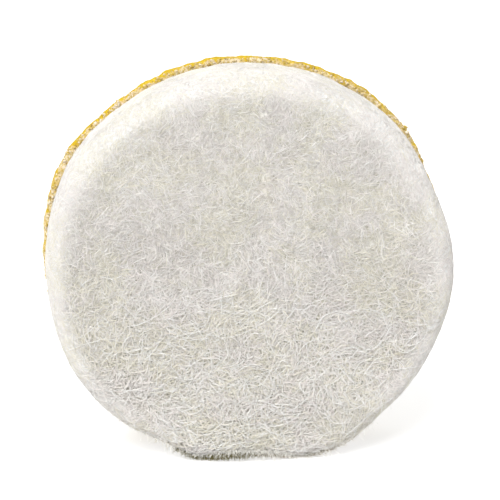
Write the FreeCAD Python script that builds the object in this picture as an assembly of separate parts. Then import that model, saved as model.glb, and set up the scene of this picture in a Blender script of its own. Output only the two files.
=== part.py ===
"""Felt polishing wheel, 50 mm: a pressed wool felt disc glued to a hook-and-loop backing.

The wheel spins about the Y axis and stands on its edge. The origin is the centre of the back
face, where the loop pile grips a driven pad. The felt's working face looks along -Y, +Z is up.
Lengths are in millimetres. From front to back the wheel is felt, cured adhesive, the knitted
ground cloth of the loop tape, and the pile of nylon loops.
"""
import FreeCAD, Part
import os

# Felt disc
WHEEL_DIAMETER = 50.0
FELT_THICKNESS = 8.0
FELT_FRONT_ROUNDING = 2.8
FELT_BACK_ROUNDING = 0.3

# Backing, each layer's thickness along the axis
ADHESIVE_THICKNESS = 0.8
CLOTH_THICKNESS = 0.6
PILE_THICKNESS = 1.1

# How far each backing layer's edge stands from the felt's rim: plus is outside it
ADHESIVE_EDGE = 0.0
ADHESIVE_BULGE = 0.38
CLOTH_EDGE = -0.1
CLOTH_ROUNDING = 0.15
PILE_EDGE = -0.2
PILE_ROUNDING = 0.4

# The rim is pressed flat where the wheel stands, by this depth below a true circle
FOOT_DEPTH = 0.9

# Places that follow from the sizes
RADIUS = WHEEL_DIAMETER / 2
PILE_BACK = 0.0
CLOTH_BACK = PILE_BACK - PILE_THICKNESS
ADHESIVE_BACK = CLOTH_BACK - CLOTH_THICKNESS
FELT_BACK = ADHESIVE_BACK - ADHESIVE_THICKNESS
FELT_FRONT = FELT_BACK - FELT_THICKNESS
FOOT_LEVEL = FOOT_DEPTH - RADIUS

AXIS = FreeCAD.Vector(0, 1, 0)
CENTRE = FreeCAD.Vector(0, 0, 0)

# Directions in a half section, whose X is the distance from the wheel's axis
OUTWARD = FreeCAD.Vector(1, 0, 0)
FORWARD = FreeCAD.Vector(0, -1, 0)
BACKWARD = FreeCAD.Vector(0, 1, 0)


def point(radius, along):
    """A point of a section: its distance from the wheel's axis, and its place along the axis."""
    return FreeCAD.Vector(radius, along, 0)


def line(start, end):
    return Part.makeLine(start, end)


def arc(start, middle, end):
    return Part.Arc(start, middle, end).toShape()


def rounded_corner(centre, size, first, last):
    """A quarter round about centre. first and last are the directions of its two ends."""
    middle = (first + last) * 0.5 ** 0.5
    return arc(centre + first * size, centre + middle * size, centre + last * size)


def round_edged_section(radius, front, back, front_rounding, back_rounding):
    """The half section of a disc whose front and back edges are rounded."""
    front_centre = point(radius - front_rounding, front + front_rounding)
    back_centre = point(radius - back_rounding, back - back_rounding)
    return Part.Wire([
        line(point(0, front), point(radius - front_rounding, front)),
        rounded_corner(front_centre, front_rounding, FORWARD, OUTWARD),
        line(point(radius, front + front_rounding), point(radius, back - back_rounding)),
        rounded_corner(back_centre, back_rounding, OUTWARD, BACKWARD),
        line(point(radius - back_rounding, back), point(0, back)),
        line(point(0, back), point(0, front)),
    ])


def bulged_section(radius, bulge, front, back):
    """The half section of a disc whose edge swells outward in one arc, like squeezed-out glue."""
    edge = arc(
        point(radius, front),
        point(radius + bulge, (front + back) / 2),
        point(radius, back),
    )
    return Part.Wire([
        line(point(0, front), point(radius, front)),
        edge,
        line(point(radius, back), point(0, back)),
        line(point(0, back), point(0, front)),
    ])


def turned(section):
    """Turns a half section about the wheel's axis, and flattens it where the wheel stands."""
    solid = Part.Face(section).revolve(CENTRE, AXIS, 360)
    corner = FreeCAD.Vector(-WHEEL_DIAMETER, -WHEEL_DIAMETER, FOOT_LEVEL - WHEEL_DIAMETER)
    below = Part.makeBox(2 * WHEEL_DIAMETER, 2 * WHEEL_DIAMETER, WHEEL_DIAMETER, corner)
    return solid.cut(below).Solids[0]


def felt_disc():
    """The pressed wool felt. Its front edge is worn to a wide round, its back edge is cut."""
    return turned(round_edged_section(
        RADIUS, FELT_FRONT, FELT_BACK, FELT_FRONT_ROUNDING, FELT_BACK_ROUNDING
    ))


def adhesive_layer():
    """The cured contact adhesive, squeezed out past the felt as a bead all round."""
    return turned(bulged_section(
        RADIUS + ADHESIVE_EDGE, ADHESIVE_BULGE, FELT_BACK, ADHESIVE_BACK
    ))


def backing_cloth():
    """The knitted ground cloth of the loop tape."""
    return turned(round_edged_section(
        RADIUS + CLOTH_EDGE, ADHESIVE_BACK, CLOTH_BACK, CLOTH_ROUNDING, CLOTH_ROUNDING
    ))


def loop_pile():
    """The outer shape of the nylon loops that stand on the ground cloth."""
    return turned(round_edged_section(
        RADIUS + PILE_EDGE, CLOTH_BACK, PILE_BACK, PILE_ROUNDING, PILE_ROUNDING
    ))


NODES = {
    "felt_disc": felt_disc,
    "adhesive_layer": adhesive_layer,
    "backing_cloth": backing_cloth,
    "loop_pile": loop_pile,
}

os.makedirs("parts", exist_ok=True)
for name, make in NODES.items():
    shape = make()
    shape.exportStep(f"parts/{name}.step")
    print(name, "valid" if shape.isValid() else "NOT VALID", f"{shape.Volume:.1f} mm3", shape.BoundBox)
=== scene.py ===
"""The looks of the felt polishing wheel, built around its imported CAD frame.

The felt is a dense solid with tens of thousands of separate wool fibres matted on it. Behind
it are the lumpy edge of cured adhesive, a knitted tape and its pile of nylon loops. Everything
is in metres, in the frame's own axes: the wheel's axis is Y and it stands on its edge.
"""
import itertools
import math

import bmesh
import bpy
import numpy as np
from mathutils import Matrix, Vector


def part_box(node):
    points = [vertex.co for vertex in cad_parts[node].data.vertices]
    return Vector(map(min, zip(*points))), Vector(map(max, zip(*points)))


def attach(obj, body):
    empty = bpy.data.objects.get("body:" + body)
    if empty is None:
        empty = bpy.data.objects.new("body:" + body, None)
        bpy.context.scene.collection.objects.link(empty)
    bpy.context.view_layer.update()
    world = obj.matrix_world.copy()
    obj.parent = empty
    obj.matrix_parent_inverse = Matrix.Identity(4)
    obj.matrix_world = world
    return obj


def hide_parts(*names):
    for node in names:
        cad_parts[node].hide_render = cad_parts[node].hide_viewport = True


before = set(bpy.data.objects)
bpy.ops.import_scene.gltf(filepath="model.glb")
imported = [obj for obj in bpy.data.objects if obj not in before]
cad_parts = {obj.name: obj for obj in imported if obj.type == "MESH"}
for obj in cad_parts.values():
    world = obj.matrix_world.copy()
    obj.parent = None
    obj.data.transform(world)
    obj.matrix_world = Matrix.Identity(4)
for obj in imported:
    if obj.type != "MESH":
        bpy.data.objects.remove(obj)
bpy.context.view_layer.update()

MM = 0.001
TAU = 2 * math.pi

# ---------------------------------------------------------------- places, from the frame
felt_low, felt_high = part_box("felt_disc")
cloth_low, cloth_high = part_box("backing_cloth")
_, pile_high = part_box("loop_pile")
RADIUS = felt_high.x
FELT_FRONT, FELT_BACK = felt_low.y, felt_high.y
FLOOR = felt_low.z
CLOTH_RADIUS = cloth_high.x
CLOTH_FRONT, CLOTH_BACK = cloth_low.y, cloth_high.y
PILE_RADIUS, PILE_BACK = pile_high.x, pile_high.y

# ---------------------------------------------------------------- sizes
# The felt's rounded edges, and the radius and the depth at which the front one starts
FRONT_ROUNDING = 2.8 * MM
BACK_ROUNDING = 0.3 * MM
FELT_CORE = RADIUS - FRONT_ROUNDING
FELT_BEND = FELT_FRONT + FRONT_ROUNDING

# Mesh steps over faces that another piece covers
HIDDEN_STEP = 4 * MM
# How far the felt and the backing stay above the floor
FLOOR_CLEARANCE = 0.01 * MM

# Felt body: mesh steps, relief as layers of (cell size, height), and how far it lies below
# the surface that its fibres make
FELT_TURN_STEPS = 640
FELT_STEP = 0.3 * MM
FELT_RELIEF = ((7.0 * MM, 0.10 * MM), (2.4 * MM, 0.07 * MM), (1.0 * MM, 0.05 * MM))
BODY_DEPTH = 0.28 * MM

# The felt's smooth cut rim: how far past the face's edge it sets in, and over what width
RIM_START = -1.7 * MM
RIM_SPREAD = 3.6 * MM

# How smooth the felt is pressed, at the foot and at the top of its face: 0 is plain felt, 1 is
# as smooth as the rim, and less than 0 is rubbed up loose. It changes over this height. Where
# it is 1, the body lies this deep, and this share of the fibres' height is squeezed out.
PRESSED_FOOT = -0.75
PRESSED_TOP = 0.75
PRESSED_HEIGHT = 1.5 * RADIUS
PRESSED_BODY_DEPTH = 0.02 * MM
PRESSED_SQUEEZE = 0.93

# Where the pressed rim leaves a true circle: (direction in degrees, spread, radial shift).
# Directions turn from +X towards +Z.
RIM_DENTS = (
    (25, 8, -0.42 * MM),
    (146, 10, 0.22 * MM),
    (186, 11, -0.48 * MM),
    (245, 8, -0.38 * MM),
    (298, 8, 0.60 * MM),
    (354, 8, 0.22 * MM),
)
# The shift fades in from this share of the radius
RIM_WARP_START = 0.72

# The foot, where the felt isn't pressed smooth: direction and spread in degrees
FOOT_DIRECTION = 270
FOOT_SPREAD = 25

# Matted wool fibres: one shade of wool per sheet, (name, yellowness, colour).
# Yellowish wool gathers in some patches of the felt and pinkish grey wool in the others.
WOOL = (
    ("cream", 0.0, (0.88, 0.84, 0.79)),
    ("ivory", 1.0, (0.86, 0.83, 0.73)),
    ("shell", -1.0, (0.86, 0.81, 0.78)),
    ("white", 0.0, (0.92, 0.90, 0.87)),
    ("cream_deep", 0.0, (0.88, 0.84, 0.79)),
    ("straw", 1.0, (0.82, 0.78, 0.66)),
    ("dove", -1.0, (0.81, 0.77, 0.74)),
    ("white_deep", 0.0, (0.92, 0.90, 0.86)),
)
PATCH_CELL = 3.4 * MM
PATCH_SCATTER = 0.25
FIBRES_PER_SHEET = 6500
FIBRE_POINTS = 7
FIBRE_LENGTH = (0.8 * MM, 2.9 * MM)
FIBRE_RADIUS = (0.024 * MM, 0.046 * MM)
FIBRE_TOP = (-0.22 * MM, 0.06 * MM)
FIBRE_ROOT = -0.30 * MM
# A fibre rises from its root to its top by a sine to this power: the lower, the fuller
FIBRE_ARCH = 0.6
LOOSE_SHARE = 0.10
LOOSE_LIFT = 0.30 * MM
# Fibres lie along swirls of this size, and each strays from its swirl
SWIRL_CELL = 4.5 * MM
SWIRL_SHARE = 0.7
SWIRL_SCATTER = 0.6
# Each fibre turns steadily, in radians per metre, and waves along its length
FIBRE_TURN = 0.35 / MM
WAVE_PITCH = (1.0 * MM, 2.4 * MM)
MATTED_CRIMP = 0.7 / MM
LONG_CRIMP = 0.25 / MM
STRAY_CRIMP = 0.5 / MM
# Shades from 0, dark, to 1, light, as (mean, spread). Pressed fibres are darker on the face, as
# painted shade for the shaded pits that pressing smooths away, and fibres at the rubbed-up foot are
# lighter, as painted light against its deeper pits. On the cut rim they are darker than on plain
# felt, as painted shade that tones down the light the rim catches, and more even.
MATTED_TINT = (0.62, 0.22)
PAINTED_SHADE_BY_PRESSING = 0.6
RIM_PAINTED_SHADE = 0.36
RIM_TINT_EVENNESS = 0.14
# Painted shade: the felt body's colour on the cut rim, a grey kept below the wool's white to tone
# down the light the rim catches
SHADED_CUT_COLOUR = (0.70, 0.70, 0.69)
LONG_TINT = (0.8, 0.2)
STRAY_TINT = (0.7, 0.2)
# A wool's darkest and lightest shade as shares of its colour, and the most that any may be
WOOL_SHADES = (0.76, 1.06)
WOOL_LIGHTEST = 0.96
HAIR_COLOUR = (0.93, 0.92, 0.89)

# Long pale hairs that weave up and down over the mat, mostly where it isn't pressed
LONG_COUNT = 420
LONG_GATHERING = 1.5
LONG_WEAVES = 1.5
LONG_POINTS = 18
LONG_LENGTH = (2.5 * MM, 8.5 * MM)
LONG_RADIUS = (0.020 * MM, 0.036 * MM)
LONG_TOP = 0.15 * MM

# Stray hairs that curve up off the surface
STRAY_COUNT = 5200
STRAY_CURVE = 1.3
STRAY_POINTS = 7
STRAY_LENGTH = (0.8 * MM, 2.2 * MM)
STRAY_RADIUS = (0.012 * MM, 0.020 * MM)
STRAY_LIFT = 0.75 * MM

# Short fibres that fray out of the front edge near the foot:
# (name, count, direction and spread in degrees, colour, length)
FRAYS = (
    # Painted shade: the dark olive and the brown fibres stand in for the shade where the front edge
    # meets the floor. The pale ones have the wool's own colour.
    ("contact_shade_fray", 4600, 261, 5.2, (0.21, 0.18, 0.06), (0.30 * MM, 0.65 * MM)),
    ("contact_shade_brown_fray", 1500, 281, 8, (0.40, 0.33, 0.22), (0.25 * MM, 0.50 * MM)),
    ("pale_fray", 700, 270, 17, (0.90, 0.88, 0.82), (0.4 * MM, 1.1 * MM)),
)
# They start on the rounded edge above the line where it meets the floor or turns under,
# (nearest, farthest) in radians of its bend, and lean forward
FRAY_START = ((0.0, 0.24), (0.0, 0.16), (0.15, 0.50))
FRAY_TURN_UNDER = 1.2
FRAY_FORWARD = -0.9
FRAY_SCATTER = 0.45
FRAY_CURL = 0.35
FRAY_POINTS = 6
FRAY_RADIUS = (0.018 * MM, 0.032 * MM)

# Adhesive edge: a bead that wraps the tape's cut edge. Its front and back are measured from
# the back of the felt.
GLUE_EDGE = 0.62 * MM
GLUE_FRONT = -0.22 * MM
GLUE_BACK = 1.75 * MM
GLUE_DEPTH = 1.1 * MM
GLUE_ROOT = RADIUS + GLUE_EDGE - GLUE_DEPTH
GLUE_TURN_STEPS = 1500
GLUE_BEAD_STEPS = 30
GLUE_BEAD_ROUNDNESS = 0.6
GLUE_RELIEF = ((3.4 * MM, 0.20 * MM), (1.4 * MM, 0.17 * MM), (0.7 * MM, 0.08 * MM))
# Its lumps swell it forward and back by this much for each millimetre from its middle. They
# fade in outward from the bead's root, over its depth divided by this.
GLUE_SWELL_ALONG = 0.7
GLUE_SWELL_FADE = 1.5
# Its grains: one per cell, each raised out to this share of a cell and sunken past that, and
# the share of their height that they have on clear gold glue
GLUE_GRAIN_CELL = 0.40 * MM
GLUE_GRAIN_SIZE = 0.55
GLUE_GRAIN = 0.12 * MM
GLUE_CLEAR_GRAIN = 0.45
# Pale granular glue reaches back over this share of the bead, unevenly, and over this much
# more of it in some places: (direction, spread) in degrees
GLUE_PALE_TO = 0.26
GLUE_PALE_CELL = 0.6 * MM
GLUE_PALE_UNEVENNESS = 0.9
GLUE_PALE_MORE = 0.52
GLUE_PALE_PLACES = ((26, 13), (176, 14))
# Where more or less of it was squeezed out: (direction in degrees, spread, radial shift)
GLUE_SWELLS = (
    (14, 13, -0.42 * MM),
    (45, 14, 0.12 * MM),
    (96, 10, 0.06 * MM),
    (148, 7, 0.34 * MM),
    (190, 14, 0.12 * MM),
    (330, 25, -0.30 * MM),
)
# Crumbs of it, between two angles round the bead's front, in half turns
CRUMB_COUNT = 1500
CRUMB_SIZE = (0.05 * MM, 0.20 * MM)
CRUMB_ANGLES = (0.06, 0.32)
CRUMB_STRETCH = (0.7, 1.3)
CRUMB_ROUGHNESS = 0.25

# Tape: steps round its edge, and how ragged the cut is as a share of the radius, outside the
# share of it that is left whole
TAPE_TURN_STEPS = 720
TAPE_STEP = 0.5 * MM
TAPE_EDGE_STEP = 0.2 * MM
TAPE_RAGGED_CELL = 0.5 * MM
TAPE_RAGGED = 0.004
TAPE_RAGGED_FROM = 0.98

# Loop pile: a low tangle of filaments, and the loops that arch out of it
PILE_MAT_TOP = 0.62 * MM
PILE_MAT_EDGE = 0.25 * MM
PILE_MAT_RELIEF = ((1.0 * MM, 0.10 * MM), (0.45 * MM, 0.08 * MM))
PILE_MAT_STEP = 0.3 * MM
PILE_MAT_PATCH = 0.6 * MM
PILE_MAT_TINT = (0.35, 0.35)
STITCH_PITCH = 0.72 * MM
STITCH_SCATTER = 0.10 * MM
# Stitches stay this far inside the pile's edge and above the floor
STITCH_INSET = 0.15 * MM
STITCH_ABOVE_FLOOR = 0.2 * MM
# The bands in a metre of the wave texture at a scale of 1
WAVE_BANDS = 3.2
# Loops: heights as shares of the pile's, spans as shares of LOOP_SPAN, how much wider they
# bulge on the way up, and headings in radians as (mean, spread). None leans out past the
# pile's edge by more than LOOP_OVERHANG.
LOOPS_PER_STITCH = 4
LOOP_POINTS = 9
LOOP_RADIUS = (0.022 * MM, 0.034 * MM)
LOOP_ROOT = 0.35 * MM
LOOP_HEIGHTS = (0.35, 1.0)
LOOP_ARCH = 0.75
LOOP_SPAN = 0.62 * MM
LOOP_SPANS = (0.7, 1.4)
LOOP_BELLY = 0.5
LOOP_HEADING = (0.6, 0.7)
LOOP_LEAN = 0.32 * MM
LOOP_SAG = 0.15 * MM
LOOP_OVERHANG = 0.1 * MM
LOOP_TINT = (0.5, 0.25)

# Floor, lights and camera. A light is (name, direction, strength, spread in degrees).
FLOOR_SIZE = 4
FLOOR_WHITE = 0.56
FLOOR_GLOW = 0.63
STUDIO_STRENGTH = 0.33
LIGHTS = (
    ("overhead", (0, 0, 1), 0.34, 60),
    ("key", (-0.28, -0.53, 0.80), 0.99, 32),
)
CAMERA_AZIMUTH = -2.9
CAMERA_ELEVATION = 18.2
CAMERA_DISTANCE = 200 * MM
CAMERA_LENS = 117.8
CAMERA_AIM = Vector((0.16 * MM, 0, 2.84 * MM))

# Seeds of the noise and of the random draws. Where several pieces, layers or axes use one, they
# count up from it.
FELT_SEED = 11
SWIRL_SEED = 31
PATCH_SEED = 41
GLUE_SEED = 51
GLUE_PALE_SEED = 57
GLUE_GRAIN_SEED = 61
TAPE_SEED = 71
PILE_MAT_SEED = 81
PILE_MAT_PATCH_SEED = 83
LONG_SEED = 5
STRAY_SEED = 7
CRUMB_SEED = 17
FRAY_SEED = 90
WOOL_SEED = 100
LOOP_SEED = 200


# ---------------------------------------------------------------- noise
def hashed(cells, seed):
    """A random value from -1 to 1 for each lattice cell, from a hash by large odd numbers."""
    h = cells[:, 0] * 73856093 ^ cells[:, 1] * 19349663 ^ cells[:, 2] * 83492791
    h = (h ^ (seed * 2654435761)) & 0xFFFFFFFF
    h = ((h ^ (h >> 15)) * 2246822519) & 0xFFFFFFFF
    h = ((h ^ (h >> 13)) * 3266489917) & 0xFFFFFFFF
    h ^= h >> 16
    return (h & 0xFFFFFF) / 0x7FFFFF - 1.0


def noise(points, cell, seed):
    """Smooth random values from -1 to 1 at points, which change over about one cell."""
    scaled = points / cell
    low = np.floor(scaled).astype(np.int64)
    t = scaled - low
    t = t * t * (3 - 2 * t)
    total = np.zeros(len(points))
    for corner in itertools.product((0, 1), repeat=3):
        weight = np.prod(np.where(corner, t, 1 - t), axis=1)
        total += weight * hashed(low + np.array(corner), seed)
    return total


def layered_noise(points, layers, seed):
    """The sum of noise layers, each given as (cell, height)."""
    return sum(h * noise(points, cell, seed + i) for i, (cell, h) in enumerate(layers))


def grain_distance(points, cell, seed):
    """Distance to the nearest of one random point per lattice cell, in cells."""
    scaled = points / cell
    low = np.floor(scaled).astype(np.int64)
    best = np.full(len(points), 9.0)
    for step in itertools.product((-1, 0, 1), repeat=3):
        at = low + np.array(step)
        spot = at + 0.5 + 0.45 * np.stack([hashed(at, seed + k) for k in range(3)], axis=1)
        best = np.minimum(best, np.linalg.norm(scaled - spot, axis=1))
    return best


# ---------------------------------------------------------------- the wheel's shape
def smooth_step(values):
    """0 below 0, 1 above 1, and a smooth rise between."""
    t = np.clip(values, 0, 1)
    return t * t * (3 - 2 * t)


def from_axis(points):
    """Each point's distance from the wheel's axis."""
    return np.hypot(points[:, 0], points[:, 2])


def bell(points, direction, spread):
    """A smooth bump: 1 in one direction from the axis, near 0 at twice its spread. In degrees."""
    around = np.degrees(np.arctan2(points[:, 2], points[:, 0]))
    away = (around - direction + 180) % 360 - 180
    return np.exp(-0.5 * (away / spread) ** 2)


def rim_shift(points):
    """How far the rim stands from a true circle in each point's direction, down to the floor."""
    shift = np.zeros(len(points))
    for direction, spread, size in RIM_DENTS:
        shift += size * bell(points, direction, spread)
    down = np.maximum(-points[:, 2] / np.maximum(from_axis(points), MM), 0.5)
    floor_reach = -FLOOR / down
    return shift + np.minimum(floor_reach - RADIUS, 0)


def cut_rim(points):
    """1 on the felt's smooth cut rim, 0 on its face and at its foot."""
    out = from_axis(points) - RADIUS + FRONT_ROUNDING
    past_face = out + points[:, 1] - FELT_FRONT
    rim = smooth_step((past_face - RIM_START) / RIM_SPREAD)
    return rim * (1 - bell(points, FOOT_DIRECTION, FOOT_SPREAD))


def pressed(points):
    """How smooth the felt is pressed near points, from PRESSED_FOOT to 1."""
    upward = smooth_step((points[:, 2] + RADIUS) / PRESSED_HEIGHT)
    face = PRESSED_FOOT + (PRESSED_TOP - PRESSED_FOOT) * upward
    return face + (1 - face) * cut_rim(points)


def settled(points, clearance=FLOOR_CLEARANCE):
    """Warps points out of round with the rim, and stops them at the surface it stands on."""
    out = points.copy()
    flat = from_axis(points)
    share = smooth_step((flat / RADIUS - RIM_WARP_START) / (1 - RIM_WARP_START))
    scale = 1 + rim_shift(points) * share / np.maximum(flat, MM)
    out[:, 0] *= scale
    out[:, 2] *= scale
    out[:, 2] = np.maximum(out[:, 2], FLOOR + clearance)
    return out


def felt_foot(points):
    """The nearest points of the ideal rounded disc to points near it, and their normals."""
    flat = np.maximum(from_axis(points), 1e-9)
    keep = np.minimum(flat, FELT_CORE) / flat
    inner = points.copy()
    inner[:, 0] *= keep
    inner[:, 2] *= keep
    inner[:, 1] = np.clip(points[:, 1], FELT_BEND, FELT_BACK)
    normal = points - inner
    size = np.linalg.norm(normal, axis=1)
    normal /= np.maximum(size, 1e-9)[:, None]
    return inner + normal * FRONT_ROUNDING, normal


# ---------------------------------------------------------------- mesh building
def new_piece(name, vertices, triangles, material, replaced=()):
    """A smooth-shaded mesh object that rides on the wheel's only body."""
    mesh = bpy.data.meshes.new(name)
    mesh.vertices.add(len(vertices))
    mesh.vertices.foreach_set("co", np.asarray(vertices, np.float32).ravel())
    mesh.loops.add(3 * len(triangles))
    mesh.loops.foreach_set("vertex_index", np.asarray(triangles, np.int32).ravel())
    mesh.polygons.add(len(triangles))
    mesh.polygons.foreach_set("loop_start", np.arange(0, 3 * len(triangles), 3, dtype=np.int32))
    mesh.update(calc_edges=True)
    mesh.shade_smooth()
    mesh.materials.append(material)
    piece = bpy.data.objects.new(name, mesh)
    bpy.context.collection.objects.link(piece)
    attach(piece, "root")
    if replaced:
        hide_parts(*replaced)
    return piece


def turned(profile, steps):
    """Points and triangles of a (radius, y) profile turned about Y. It starts and ends on Y."""
    around = np.arange(steps) * TAU / steps
    rings = np.array(profile[1:-1])
    ring_points = np.stack(
        [
            rings[:, 0, None] * np.cos(around),
            np.repeat(rings[:, 1, None], steps, axis=1),
            rings[:, 0, None] * np.sin(around),
        ],
        axis=2,
    ).reshape(-1, 3)
    poles = np.array([[0, profile[0][1], 0], [0, profile[-1][1], 0]])
    vertices = np.vstack([ring_points, poles])
    here = np.arange(steps)
    after = (here + 1) % steps
    bands = []
    for ring in range(len(rings) - 1):
        a = ring * steps + here
        b = ring * steps + after
        bands.append(np.stack([a, b, a + steps], axis=1))
        bands.append(np.stack([b, b + steps, a + steps], axis=1))
    last = (len(rings) - 1) * steps
    first_pole = len(ring_points)
    bands.append(np.stack([np.full(steps, first_pole), after, here], axis=1))
    bands.append(np.stack([np.full(steps, first_pole + 1), last + here, last + after], axis=1))
    return vertices, np.vstack(bands)


def spaced(start, end, step):
    """Points along a straight run, without its end."""
    count = max(1, round(math.dist(start, end) / step))
    return [
        (start[0] + (end[0] - start[0]) * i / count, start[1] + (end[1] - start[1]) * i / count)
        for i in range(count)
    ]


def tubes(paths, radii):
    """Closed three-sided tubes with pointed ends along paths, an array (tube, point, xyz)."""
    askew = np.array([0.31, 0.87, 0.38])  # a direction that few paths come near
    count, points, _ = paths.shape
    along = np.gradient(paths, axis=1)
    along /= np.maximum(np.linalg.norm(along, axis=2), 1e-12)[:, :, None]
    side = np.cross(along, askew)
    side /= np.maximum(np.linalg.norm(side, axis=2), 1e-12)[:, :, None]
    other = np.cross(along, side)
    inner = slice(1, points - 1)
    rings = []
    for k in range(3):
        a = TAU * k / 3
        off = math.cos(a) * side[:, inner] + math.sin(a) * other[:, inner]
        rings.append(paths[:, inner] + off * radii[:, None, None])
    body = np.stack(rings, axis=2).reshape(count, -1, 3)
    vertices = np.concatenate([paths[:, :1], body, paths[:, -1:]], axis=1)
    faces = []
    for k in range(3):
        n = (k + 1) % 3
        faces.append((0, 1 + n, 1 + k))
        for ring in range(points - 3):
            a, b = 1 + 3 * ring + k, 1 + 3 * ring + n
            faces.append((a, b, a + 3))
            faces.append((b, b + 3, a + 3))
        end = 1 + 3 * (points - 3)
        faces.append((end + k, end + n, 3 * (points - 2) + 1))
    each = vertices.shape[1]
    triangles = (np.array(faces)[None] + (np.arange(count) * each)[:, None, None]).reshape(-1, 3)
    return vertices.reshape(-1, 3), triangles, each


def unit_ball():
    """The corners and triangles of a small round ball of radius 1."""
    shape = bmesh.new()
    bmesh.ops.create_icosphere(shape, subdivisions=2, radius=1)
    corners = np.array([corner.co for corner in shape.verts])
    faces = np.array([[corner.index for corner in face.verts] for face in shape.faces])
    shape.free()
    return corners, faces


def give(piece, name, values):
    """Stores one value per vertex for the material to read."""
    layer = piece.data.attributes.new(name, "FLOAT", "POINT")
    layer.data.foreach_set("value", np.asarray(values, np.float32))


# ---------------------------------------------------------------- materials
def principled(name, roughness, **settings):
    """A new material with its nodes, and its Principled shader."""
    material = bpy.data.materials.new(name)
    material.use_nodes = True
    shader = material.node_tree.nodes["Principled BSDF"]
    shader.inputs["Roughness"].default_value = roughness
    for key, value in settings.items():
        shader.inputs[key.replace("_", " ")].default_value = value
    return material, material.node_tree, shader


def noise_node(tree, scale, detail=3.0, distortion=0.0, roughness=0.55):
    """Noise over the object's own coordinates. scale is in cells per metre."""
    where = tree.nodes.new("ShaderNodeTexCoord")
    made = tree.nodes.new("ShaderNodeTexNoise")
    made.inputs["Scale"].default_value = scale
    made.inputs["Detail"].default_value = detail
    made.inputs["Distortion"].default_value = distortion
    made.inputs["Roughness"].default_value = roughness
    tree.links.new(where.outputs["Object"], made.inputs["Vector"])
    return made.outputs["Fac"]


def ramp(tree, value, stops):
    """Colours by value, from (place, (r, g, b)) stops."""
    made = tree.nodes.new("ShaderNodeValToRGB")
    elements = made.color_ramp.elements
    while len(elements) < len(stops):
        elements.new(0.5)
    for element, (place, colour) in zip(elements, stops):
        element.position = place
        element.color = (*colour, 1)
    tree.links.new(value, made.inputs["Fac"])
    return made.outputs["Color"]


def mixed(tree, share, first, second, blend="MIX"):
    """Mixes two colours. share is a number or a socket."""
    made = tree.nodes.new("ShaderNodeMix")
    made.data_type = "RGBA"
    made.blend_type = blend
    factor, a, b = made.inputs[0], made.inputs[6], made.inputs[7]
    for socket, value in ((factor, share), (a, first), (b, second)):
        if isinstance(value, bpy.types.NodeSocket):
            tree.links.new(value, socket)
        elif isinstance(value, tuple):
            socket.default_value = (*value, 1)
        else:
            socket.default_value = value
    return made.outputs[2]


def bump(tree, shader, height, depth, strength=1.0):
    """Adds surface relief of about depth metres."""
    made = tree.nodes.new("ShaderNodeBump")
    made.inputs["Distance"].default_value = depth
    made.inputs["Strength"].default_value = strength
    tree.links.new(height, made.inputs["Height"])
    tree.links.new(made.outputs["Normal"], shader.inputs["Normal"])


def attribute(tree, name):
    made = tree.nodes.new("ShaderNodeAttribute")
    made.attribute_name = name
    return made.outputs["Fac"]


def felt_body_material():
    """The dense wool between the fibres: olive in its pits as painted shade, and an even pale grey
    at the cut rim, also painted shade.
    """
    material, tree, shader = principled("felt_body", 0.95, Sheen_Weight=0.25, Sheen_Roughness=0.6)
    # Painted shade: olive grey in noise-made pits, for the shade that falls between and under the
    # fibres. The patches over it are the wool's own tone.
    ground = ramp(tree, noise_node(tree, 1300, 6, 0.6), (
        (0.30, (0.40, 0.385, 0.32)),
        (0.46, (0.60, 0.58, 0.52)),
        (0.70, (0.78, 0.76, 0.71)),
    ))
    patches = ramp(tree, noise_node(tree, 290, 2, 0.3), (
        (0.36, (1.0, 0.99, 0.93)),
        (0.50, (1.0, 1.0, 1.0)),
        (0.64, (1.0, 0.97, 0.96)),
    ))
    loose = mixed(tree, 1.0, ground, patches, "MULTIPLY")
    # On the cut rim the painted pit shade gives way to the rim's own painted grey shade
    colour = mixed(tree, attribute(tree, "cut"), loose, SHADED_CUT_COLOUR)
    tree.links.new(colour, shader.inputs["Base Color"])
    bump(tree, shader, noise_node(tree, 2600, 5, 1.5), 0.05 * MM)
    return material


def wool_material(name, colour):
    """One shade of wool: its fibres vary in lightness, at random and, in the matted sheets, by
    painted shade and painted light, and are scaly along their length.
    """
    material, tree, shader = principled(
        f"wool_{name}", 0.7, Sheen_Weight=0.2, Sheen_Roughness=0.5,
    )
    shader.inputs["Specular IOR Level"].default_value = 0.3
    dark = tuple(WOOL_SHADES[0] * c for c in colour)
    light = tuple(min(WOOL_LIGHTEST, WOOL_SHADES[1] * c) for c in colour)
    fibre = ramp(tree, attribute(tree, "tint"), ((0.0, dark), (0.6, colour), (1.0, light)))
    tree.links.new(fibre, shader.inputs["Base Color"])
    bump(tree, shader, noise_node(tree, 30000, 2), 0.004 * MM)
    return material


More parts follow.
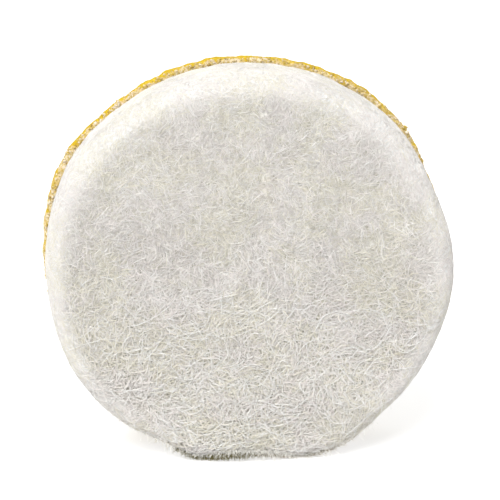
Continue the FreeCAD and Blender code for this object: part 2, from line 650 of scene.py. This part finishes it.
def adhesive_material():
    """Cured amber contact adhesive: golden lumps, paler cream grains and a few brown specks."""
    material, tree, shader = principled(
        "cured_adhesive", 0.5, Specular_IOR_Level=0.3,
        Subsurface_Weight=0.3, Subsurface_Radius=(0.9, 0.6, 0.25), Subsurface_Scale=0.4 * MM,
    )
    grain = noise_node(tree, 3000, 5, 0.6, 0.65)
    gold = ramp(tree, grain, (
        (0.32, (0.47, 0.30, 0.006)),
        (0.45, (0.54, 0.36, 0.006)),
        (0.58, (0.61, 0.425, 0.012)),
        (0.70, (0.65, 0.49, 0.10)),
    ))
    cream = ramp(tree, grain, (
        (0.34, (0.43, 0.30, 0.05)),
        (0.46, (0.59, 0.45, 0.18)),
        (0.60, (0.75, 0.64, 0.48)),
    ))
    specks = ramp(tree, noise_node(tree, 1500, 2, 0.2), (
        (0.25, (0.50, 0.38, 0.20)),
        (0.31, (1.0, 1.0, 1.0)),
    ))
    amber = mixed(tree, attribute(tree, "pale"), gold, cream)
    colour = mixed(tree, 1.0, amber, specks, "MULTIPLY")
    tree.links.new(colour, shader.inputs["Base Color"])
    bump(tree, shader, noise_node(tree, 7000, 4, 0.5), 0.06 * MM)
    return material


def crumb_material():
    """Crumbs of the same adhesive, from deep gold to pale pinkish cream."""
    material, tree, shader = principled("adhesive_crumb", 0.35, Coat_Weight=0.3)
    shade = ramp(tree, attribute(tree, "tint"), (
        (0.0, (0.34, 0.22, 0.05)),
        (0.12, (0.51, 0.35, 0.04)),
        (0.45, (0.63, 0.48, 0.20)),
        (1.0, (0.77, 0.68, 0.55)),
    ))
    tree.links.new(shade, shader.inputs["Base Color"])
    bump(tree, shader, noise_node(tree, 9000, 3), 0.02 * MM)
    return material


def tape_material():
    """The knitted ground cloth: golden nylon with a fine rib along the tape."""
    material, tree, shader = principled("knitted_tape", 0.8, Sheen_Weight=0.3)
    yarn = ramp(tree, noise_node(tree, 1200, 4, 0.4), (
        (0.30, (0.72, 0.56, 0.24)),
        (0.55, (0.82, 0.68, 0.36)),
        (0.75, (0.88, 0.78, 0.50)),
    ))
    tree.links.new(yarn, shader.inputs["Base Color"])
    where = tree.nodes.new("ShaderNodeTexCoord")
    rib = tree.nodes.new("ShaderNodeTexWave")
    rib.inputs["Scale"].default_value = 1 / STITCH_PITCH / WAVE_BANDS
    rib.inputs["Distortion"].default_value = 1.2
    tree.links.new(where.outputs["Object"], rib.inputs["Vector"])
    bump(tree, shader, rib.outputs["Fac"], 0.12 * MM)
    return material


def loop_material():
    """Nylon loop filaments: clear golden, with a soft shine."""
    material, tree, shader = principled("nylon_loop", 0.35, Sheen_Weight=0.2)
    filament = ramp(tree, attribute(tree, "tint"), (
        (0.0, (0.84, 0.73, 0.46)),
        (0.5, (0.91, 0.83, 0.62)),
        (1.0, (0.95, 0.91, 0.78)),
    ))
    shade = ramp(tree, noise_node(tree, 220, 2), (
        (0.35, (0.94, 0.93, 0.90)),
        (0.65, (1.0, 1.0, 1.0)),
    ))
    colour = mixed(tree, 1.0, filament, shade, "MULTIPLY")
    tree.links.new(colour, shader.inputs["Base Color"])
    bump(tree, shader, noise_node(tree, 24000, 2), 0.004 * MM)
    return material


def floor_material():
    """White acrylic lit from below, like a photographer's light table."""
    material, tree, shader = principled("white_floor", 0.9)
    shader.inputs["Specular IOR Level"].default_value = 0.1
    shader.inputs["Base Color"].default_value = (FLOOR_WHITE, FLOOR_WHITE, FLOOR_WHITE, 1)
    shader.inputs["Emission Color"].default_value = (1, 1, 1, 1)
    shader.inputs["Emission Strength"].default_value = FLOOR_GLOW
    return material


# ---------------------------------------------------------------- the felt
def felt_profile():
    """(radius, y) along the felt's skin: front centre, face, rounded edge, rim, back centre."""
    turns = round(FRONT_ROUNDING * TAU / 4 / FELT_STEP)
    out = spaced((0, FELT_FRONT), (FELT_CORE, FELT_FRONT), FELT_STEP)
    for i in range(turns):
        a = TAU / 4 * i / turns
        flat = FELT_CORE + FRONT_ROUNDING * math.sin(a)
        out.append((flat, FELT_BEND - FRONT_ROUNDING * math.cos(a)))
    out += spaced((RADIUS, FELT_BEND), (RADIUS, FELT_BACK - BACK_ROUNDING), FELT_STEP)
    out.append((RADIUS, FELT_BACK - BACK_ROUNDING))
    out.append((RADIUS - BACK_ROUNDING, FELT_BACK))
    out += spaced((RADIUS - MM, FELT_BACK), (0, FELT_BACK), HIDDEN_STEP)
    out.append((0, FELT_BACK))
    return out


def make_felt(material):
    """The dense inside of the felt, a little below the surface that its fibres make."""
    vertices, triangles = turned(felt_profile(), FELT_TURN_STEPS)
    place, normal = felt_foot(vertices)
    outside = vertices[:, 1] < FELT_BACK - BACK_ROUNDING / 2
    share = pressed(place)
    depth = BODY_DEPTH + (PRESSED_BODY_DEPTH - BODY_DEPTH) * share
    lift = np.where(outside, layered_noise(place, FELT_RELIEF, FELT_SEED) - depth, 0.0)
    moved = settled(vertices + normal * lift[:, None])
    piece = new_piece("felt_body", moved, triangles, material, ["felt_disc"])
    give(piece, "cut", cut_rim(place))


def spun(flat, deep, around):
    """Points at distances flat from the axis, at depths deep along it and angles around it."""
    return np.stack([flat * np.cos(around), deep, flat * np.sin(around)], axis=1)


def on_front_edge(bend):
    """(radius, y) on the felt's front rounding, from 0 at its face to a quarter turn at its rim."""
    flat = FELT_CORE + FRONT_ROUNDING * np.sin(bend)
    return flat, FELT_FRONT + FRONT_ROUNDING * (1 - np.cos(bend))


def random_skin_points(rng, count):
    """Even random points over the felt's face, rounded edge and rim."""
    face = math.pi * FELT_CORE ** 2
    edge = TAU * (FELT_CORE + FRONT_ROUNDING * 2 / math.pi) * FRONT_ROUNDING * TAU / 4
    rim_width = FELT_BACK - FELT_BEND
    rim = TAU * RADIUS * rim_width
    pick = rng.random(count) * (face + edge + rim)
    along = rng.random(count)
    bend = along * TAU / 4
    edge_flat, edge_deep = on_front_edge(bend)
    flat = np.where(pick < face, FELT_CORE * np.sqrt(along), edge_flat)
    deep = np.where(pick < face, FELT_FRONT, edge_deep)
    on_rim = pick > face + edge
    flat = np.where(on_rim, RADIUS, flat)
    deep = np.where(on_rim, FELT_BEND + along * rim_width, deep)
    return spun(flat, deep, rng.random(count) * TAU)


def combed(rng, points):
    """A direction for each fibre: mostly that of the swirl it lies in, partly its own."""
    swirl = np.stack([noise(points, SWIRL_CELL, SWIRL_SEED + k) for k in range(3)], axis=1)
    swirl *= SWIRL_SHARE / np.maximum(np.linalg.norm(swirl, axis=1), 1e-9)[:, None]
    return swirl + rng.normal(size=points.shape) * SWIRL_SCATTER


def walked(rng, starts, heading, lengths, points, crimp):
    """Walks each fibre over the felt from its start. Returns points (fibre, point, xyz)."""
    count = len(starts)
    turn = rng.normal(size=count) * FIBRE_TURN
    wave = rng.normal(size=count) * crimp
    phase = rng.random(count) * TAU
    pitch = rng.uniform(*WAVE_PITCH, count)
    step = lengths / (points - 1)
    place = starts
    out = []
    for i in range(points):
        place, normal = felt_foot(place)
        heading = heading - (heading * normal).sum(axis=1)[:, None] * normal
        heading /= np.maximum(np.linalg.norm(heading, axis=1), 1e-9)[:, None]
        out.append(place)
        bend = (turn + wave * np.sin(TAU * i * step / pitch + phase)) * step
        across = np.cross(normal, heading)
        heading = heading * np.cos(bend)[:, None] + across * np.sin(bend)[:, None]
        place = place + heading * step[:, None]
    return np.stack(out, axis=1)


def laid_on_felt(paths, heights, clearance):
    """Lifts walked paths to their heights over the uneven felt."""
    place, normal = felt_foot(paths.reshape(-1, 3))
    lift = heights.reshape(-1) + layered_noise(place, FELT_RELIEF, FELT_SEED)
    lifted = settled(place + normal * lift[:, None], clearance)
    lifted[:, 1] = np.minimum(lifted[:, 1], FELT_BACK)
    return lifted.reshape(paths.shape)


def fibre_piece(rng, name, paths, heights, radii, material, tints):
    """One mesh of fibres along walked paths, at their heights over the felt."""
    share = pressed(paths.reshape(-1, 3)).reshape(heights.shape)
    laid = laid_on_felt(paths, heights * (1 - PRESSED_SQUEEZE * share), 2 * radii[1])
    vertices, triangles, each = tubes(laid, rng.uniform(*radii, len(laid)))
    piece = new_piece(name, vertices, triangles, material)
    give(piece, "tint", np.repeat(np.clip(rng.normal(*tints, len(laid)), 0, 1), each))


def make_matted_fibres(index):
    """One sheet of the wool fibres that lie in and on the felt, all of one shade."""
    name, yellowness, colour = WOOL[index]
    rng = np.random.default_rng(WOOL_SEED + index)
    count = FIBRES_PER_SHEET
    starts = random_skin_points(rng, 2 * count)
    liking = yellowness * noise(starts, PATCH_CELL, PATCH_SEED)
    liking = liking + rng.normal(size=2 * count) * PATCH_SCATTER
    starts = starts[np.argsort(-liking)[:count]]
    lengths = rng.uniform(*FIBRE_LENGTH, count)
    paths = walked(rng, starts, combed(rng, starts), lengths, FIBRE_POINTS, MATTED_CRIMP)
    t = np.linspace(0, 1, FIBRE_POINTS)
    top = rng.uniform(*FIBRE_TOP, count)[:, None]
    heights = FIBRE_ROOT + (top - FIBRE_ROOT) * np.sin(math.pi * t) ** FIBRE_ARCH
    loose = (rng.random(count) < LOOSE_SHARE) * rng.random(count) * LOOSE_LIFT
    heights = heights + loose[:, None] * t ** 2
    cut = cut_rim(starts)
    # Painted shade where the felt is pressed, painted light at the rubbed-up foot and painted shade
    # on the cut rim, all set into each fibre's tint
    shade = MATTED_TINT[0] - PAINTED_SHADE_BY_PRESSING * (pressed(starts) - cut) - RIM_PAINTED_SHADE * cut
    tints = (shade, MATTED_TINT[1] - RIM_TINT_EVENNESS * cut)
    material = wool_material(name, colour)
    fibre_piece(rng, f"wool_{name}", paths, heights, FIBRE_RADIUS, material, tints)


def make_long_hairs(material):
    """A few long pale hairs that lie over the mat, partly under it."""
    rng = np.random.default_rng(LONG_SEED)
    starts = random_skin_points(rng, 4 * LONG_COUNT)
    liking = rng.random(len(starts)) - LONG_GATHERING * pressed(starts)
    starts = starts[np.argsort(-liking)[:LONG_COUNT]]
    lengths = rng.uniform(*LONG_LENGTH, LONG_COUNT)
    heading = rng.normal(size=starts.shape)
    paths = walked(rng, starts, heading, lengths, LONG_POINTS, LONG_CRIMP)
    t = np.linspace(0, 1, LONG_POINTS)
    weave = np.sin(TAU * (LONG_WEAVES * t + rng.random(LONG_COUNT)[:, None]))
    heights = LONG_TOP * (0.35 + 0.65 * weave)
    heights[:, 0] = heights[:, -1] = FIBRE_ROOT
    fibre_piece(rng, "long_hairs", paths, heights, LONG_RADIUS, material, LONG_TINT)


def make_stray_hairs(material):
    """Fine hairs that stand off the felt all round."""
    rng = np.random.default_rng(STRAY_SEED)
    starts = random_skin_points(rng, STRAY_COUNT)
    lengths = rng.uniform(*STRAY_LENGTH, STRAY_COUNT)
    paths = walked(rng, starts, combed(rng, starts), lengths, STRAY_POINTS, STRAY_CRIMP)
    t = np.linspace(0, 1, STRAY_POINTS)
    lift = rng.random(STRAY_COUNT)[:, None] * STRAY_LIFT
    heights = FIBRE_ROOT / 2 + lift * t ** STRAY_CURVE
    fibre_piece(rng, "stray_hairs", paths, heights, STRAY_RADIUS, material, STRAY_TINT)


def make_fray(index):
    """Short fibres that hang out of the front edge above the foot, down to the floor."""
    name, count, direction, spread, colour, length = FRAYS[index]
    rng = np.random.default_rng(FRAY_SEED + index)
    around = np.radians(rng.normal(direction, spread, count))
    meets_floor = (FLOOR / np.minimum(np.sin(around), -0.5) - FELT_CORE) / FRONT_ROUNDING
    bend = np.arcsin(np.minimum(meets_floor, math.sin(FRAY_TURN_UNDER)))
    bend -= rng.uniform(*FRAY_START[index], count)
    starts = spun(*on_front_edge(bend), around)
    outward = spun(np.ones(count), np.full(count, FRAY_FORWARD), around)
    heading = outward + rng.normal(size=starts.shape) * FRAY_SCATTER
    heading /= np.linalg.norm(heading, axis=1)[:, None]
    curl = rng.normal(size=starts.shape) * FRAY_CURL
    t = np.linspace(0, 1, FRAY_POINTS)[None, :, None]
    reach = rng.uniform(*length, count)[:, None, None]
    paths = starts[:, None] + reach * (heading[:, None] * t + curl[:, None] * t ** 2)
    paths = settled(paths.reshape(-1, 3), 2 * FRAY_RADIUS[1]).reshape(paths.shape)
    vertices, triangles, each = tubes(paths, rng.uniform(*FRAY_RADIUS, count))
    material = wool_material(name, colour)
    piece = new_piece(name, vertices, triangles, material)
    give(piece, "tint", np.repeat(rng.random(count), each))


# ---------------------------------------------------------------- the backing
def on_bead(a):
    """(radius, y) on the adhesive's bead, at angles from 0 at its front to pi at its back."""
    middle = FELT_BACK + (GLUE_FRONT + GLUE_BACK) / 2
    flat = GLUE_ROOT + GLUE_DEPTH * np.sin(a) ** GLUE_BEAD_ROUNDNESS
    return flat, middle - (GLUE_BACK - GLUE_FRONT) / 2 * np.cos(a)


def glue_profile():
    """(radius, y) round the adhesive: a thin layer that ends in a bead over the tape's edge."""
    out = spaced((0, FELT_BACK), (GLUE_ROOT, FELT_BACK), HIDDEN_STEP)
    out += zip(*on_bead(np.linspace(0, math.pi, GLUE_BEAD_STEPS + 1)))
    out += spaced((GLUE_ROOT, CLOTH_BACK), (0, CLOTH_BACK), HIDDEN_STEP)
    out.append((0, CLOTH_BACK))
    return out


def glue_paleness(points):
    """0 where the bead is clear gold, 1 where it is pale and granular, mostly by the felt."""
    along = (points[:, 1] - FELT_BACK - GLUE_FRONT) / (GLUE_BACK - GLUE_FRONT)
    edge = GLUE_PALE_TO
    for direction, spread in GLUE_PALE_PLACES:
        edge = edge + GLUE_PALE_MORE * bell(points, direction, spread)
    uneven = GLUE_PALE_UNEVENNESS * noise(points, GLUE_PALE_CELL, GLUE_PALE_SEED)
    return smooth_step(1 - along / edge + uneven)


def on_glue(points):
    """Swells points of the bead outward by its lumps and grains."""
    flat = from_axis(points)
    share = smooth_step((flat - GLUE_ROOT) / GLUE_DEPTH * GLUE_SWELL_FADE)
    outward = points / np.maximum(flat, MM)[:, None]
    middle = FELT_BACK + (GLUE_FRONT + GLUE_BACK) / 2
    outward[:, 1] = GLUE_SWELL_ALONG * (points[:, 1] - middle) / MM
    lumps = layered_noise(points, GLUE_RELIEF, GLUE_SEED)
    for direction, spread, size in GLUE_SWELLS:
        lumps += size * bell(points, direction, spread)
    fine = GLUE_CLEAR_GRAIN + (1 - GLUE_CLEAR_GRAIN) * glue_paleness(points)
    away = grain_distance(points, GLUE_GRAIN_CELL, GLUE_GRAIN_SEED)
    grains = GLUE_GRAIN * fine * (GLUE_GRAIN_SIZE - away)
    return points + outward * ((lumps + grains) * share)[:, None]


def make_adhesive(material):
    vertices, triangles = turned(glue_profile(), GLUE_TURN_STEPS)
    piece = new_piece(
        "adhesive_edge", settled(on_glue(vertices)), triangles, material,
        ["adhesive_layer"],
    )
    give(piece, "pale", glue_paleness(vertices))


def make_glue_crumbs(material):
    """Hard crumbs of dried adhesive, half sunk in the bead on its felt side."""
    rng = np.random.default_rng(CRUMB_SEED)
    around = rng.random(CRUMB_COUNT) * TAU
    a = rng.uniform(*CRUMB_ANGLES, CRUMB_COUNT) * math.pi
    centres = on_glue(spun(*on_bead(a), around))
    ball, faces = unit_ball()
    size = rng.uniform(0, 1, CRUMB_COUNT) ** 2 * (CRUMB_SIZE[1] - CRUMB_SIZE[0]) + CRUMB_SIZE[0]
    stretch = rng.uniform(*CRUMB_STRETCH, (CRUMB_COUNT, 3)) * size[:, None]
    rough = 1 + CRUMB_ROUGHNESS * rng.normal(size=(CRUMB_COUNT, len(ball)))
    crumbs = centres[:, None] + ball[None] * stretch[:, None] * rough[:, :, None]
    vertices = settled(crumbs.reshape(-1, 3))
    triangles = faces[None] + (np.arange(CRUMB_COUNT) * len(ball))[:, None, None]
    piece = new_piece(
        "adhesive_crumbs", vertices, triangles.reshape(-1, 3), material
    )
    give(piece, "tint", np.repeat(rng.random(CRUMB_COUNT), len(ball)))


def make_tape(material):
    """The knitted ground cloth, a thin disc whose cut edge is a little ragged."""
    edge = CLOTH_RADIUS
    low, high = CLOTH_FRONT, CLOTH_BACK
    profile = spaced((0, low), (edge, low), TAPE_STEP)
    profile += spaced((edge, low), (edge, high), TAPE_EDGE_STEP)
    profile += spaced((edge, high), (0, high), TAPE_STEP) + [(0, high)]
    vertices, triangles = turned(profile, TAPE_TURN_STEPS)
    at_edge = from_axis(vertices) > TAPE_RAGGED_FROM * edge
    ragged = 1 + noise(vertices, TAPE_RAGGED_CELL, TAPE_SEED) * TAPE_RAGGED * at_edge
    vertices[:, 0] *= ragged
    vertices[:, 2] *= ragged
    piece = new_piece(
        "knitted_tape", settled(vertices), triangles, material, ["backing_cloth"]
    )


def make_pile_mat(material):
    """The tangle of filaments low in the pile, which closes the gaps between its loops."""
    low, high = CLOTH_BACK, CLOTH_BACK + PILE_MAT_TOP
    edge = PILE_RADIUS - PILE_MAT_EDGE
    profile = [(0, low), (edge, low), (edge, high - PILE_MAT_EDGE)]
    profile += spaced((edge - PILE_MAT_EDGE, high), (0, high), PILE_MAT_STEP) + [(0, high)]
    vertices, triangles = turned(profile, TAPE_TURN_STEPS)
    share = vertices[:, 1] > high - PILE_MAT_EDGE / 2
    vertices[:, 1] += share * layered_noise(vertices, PILE_MAT_RELIEF, PILE_MAT_SEED)
    piece = new_piece("pile_mat", settled(vertices), triangles, material)
    tint, spread = PILE_MAT_TINT
    give(piece, "tint", tint + spread * noise(vertices, PILE_MAT_PATCH, PILE_MAT_PATCH_SEED))


def stitch_places():
    """The places of the tape's stitches, in staggered rows inside the pile's edge."""
    reach = PILE_RADIUS - STITCH_INSET
    rows = int(reach / STITCH_PITCH) + 1
    places = []
    for row in range(-rows, rows + 1):
        for column in range(-rows, rows + 1):
            x = (column + 0.5 * (row % 2)) * STITCH_PITCH
            z = row * STITCH_PITCH
            if math.hypot(x, z) < reach and z > FLOOR + STITCH_ABOVE_FLOOR:
                places.append((x, z))
    return np.array(places)


def make_loop_pile(index, material):
    """One loop of every stitch: nylon filaments that arch up from the tape and lean about."""
    rng = np.random.default_rng(LOOP_SEED + index)
    at = stitch_places()
    count = len(at)
    at = at + rng.normal(size=at.shape) * STITCH_SCATTER
    heading = rng.normal(*LOOP_HEADING, count)
    lean = rng.normal(size=(count, 2)) * LOOP_LEAN
    lean[:, 1] -= LOOP_SAG
    root = CLOTH_BACK + LOOP_ROOT
    height = (PILE_BACK - root) * rng.uniform(*LOOP_HEIGHTS, count)
    t = np.linspace(0, 1, LOOP_POINTS)
    arch = np.sin(math.pi * t) ** LOOP_ARCH
    span = LOOP_SPAN * rng.uniform(*LOOP_SPANS, count)
    across = (-np.cos(math.pi * t))[None] * (span / 2)[:, None]
    across = across * (1 + LOOP_BELLY * np.sin(math.pi * t))
    x = at[:, :1] + np.cos(heading)[:, None] * across + lean[:, :1] * arch ** 2
    z = at[:, 1:] + np.sin(heading)[:, None] * across + lean[:, 1:] * arch ** 2
    y = root + height[:, None] * arch
    flat = np.hypot(x, z)
    pull = np.minimum(1, (PILE_RADIUS + LOOP_OVERHANG) / flat)
    paths = np.stack([x * pull, y, z * pull], axis=2)
    paths = settled(paths.reshape(-1, 3), 2 * LOOP_RADIUS[1]).reshape(paths.shape)
    vertices, triangles, each = tubes(paths, rng.uniform(*LOOP_RADIUS, count))
    replaced = ["loop_pile"] if index == 0 else []
    piece = new_piece(
        f"nylon_loops_{index + 1}", vertices, triangles, material, replaced
    )
    give(piece, "tint", np.repeat(np.clip(rng.normal(*LOOP_TINT, count), 0, 1), each))


# ---------------------------------------------------------------- floor, light and camera
def make_floor():
    bpy.ops.mesh.primitive_plane_add(size=FLOOR_SIZE, location=(0, 0, FLOOR))
    floor = bpy.context.object
    floor.name = "floor"
    floor.data.materials.append(floor_material())


def make_light(name, direction, strength, spread):
    """Wide even light from a direction. A strength of 1 lights a white surface to white."""
    data = bpy.data.lights.new(name, "SUN")
    data.energy = strength * math.pi
    data.angle = math.radians(spread)
    lamp = bpy.data.objects.new(name, data)
    bpy.context.collection.objects.link(lamp)
    lamp.rotation_euler = Vector(direction).to_track_quat("Z", "Y").to_euler()


def make_world():
    """A studio that lights the wheel gently all round, with a pure white backdrop behind it."""
    world = bpy.data.worlds.new("studio")
    world.use_nodes = True
    tree = world.node_tree
    studio = tree.nodes["Background"]
    studio.inputs["Color"].default_value = (1, 1, 1, 1)
    studio.inputs["Strength"].default_value = STUDIO_STRENGTH
    backdrop = tree.nodes.new("ShaderNodeBackground")
    backdrop.inputs["Color"].default_value = (1, 1, 1, 1)
    seen = tree.nodes.new("ShaderNodeLightPath")
    either = tree.nodes.new("ShaderNodeMixShader")
    tree.links.new(seen.outputs["Is Camera Ray"], either.inputs["Fac"])
    tree.links.new(studio.outputs["Background"], either.inputs[1])
    tree.links.new(backdrop.outputs["Background"], either.inputs[2])
    tree.links.new(either.outputs["Shader"], tree.nodes["World Output"].inputs["Surface"])
    bpy.context.scene.world = world
    bpy.context.scene.view_settings.view_transform = "Standard"


def make_camera():
    data = bpy.data.cameras.new("camera")
    data.lens = CAMERA_LENS
    data.clip_start = 0.01
    camera = bpy.data.objects.new("camera", data)
    bpy.context.collection.objects.link(camera)
    a, e = math.radians(CAMERA_AZIMUTH), math.radians(CAMERA_ELEVATION)
    back = Vector((math.sin(a) * math.cos(e), -math.cos(a) * math.cos(e), math.sin(e)))
    widest = Vector((0, FELT_BEND, 0))
    camera.location = widest + back * CAMERA_DISTANCE
    aim = widest + CAMERA_AIM
    camera.rotation_euler = (camera.location - aim).to_track_quat("Z", "Y").to_euler()
    bpy.context.scene.camera = camera


make_camera()
make_world()
make_floor()
for light in LIGHTS:
    make_light(*light)

make_felt(felt_body_material())
for sheet in range(len(WOOL)):
    make_matted_fibres(sheet)
hair = wool_material("hair", HAIR_COLOUR)
make_long_hairs(hair)
make_stray_hairs(hair)
for fray in range(len(FRAYS)):
    make_fray(fray)
make_adhesive(adhesive_material())
make_glue_crumbs(crumb_material())
make_tape(tape_material())
nylon = loop_material()
make_pile_mat(nylon)
for loop in range(LOOPS_PER_STITCH):
    make_loop_pile(loop, nylon)
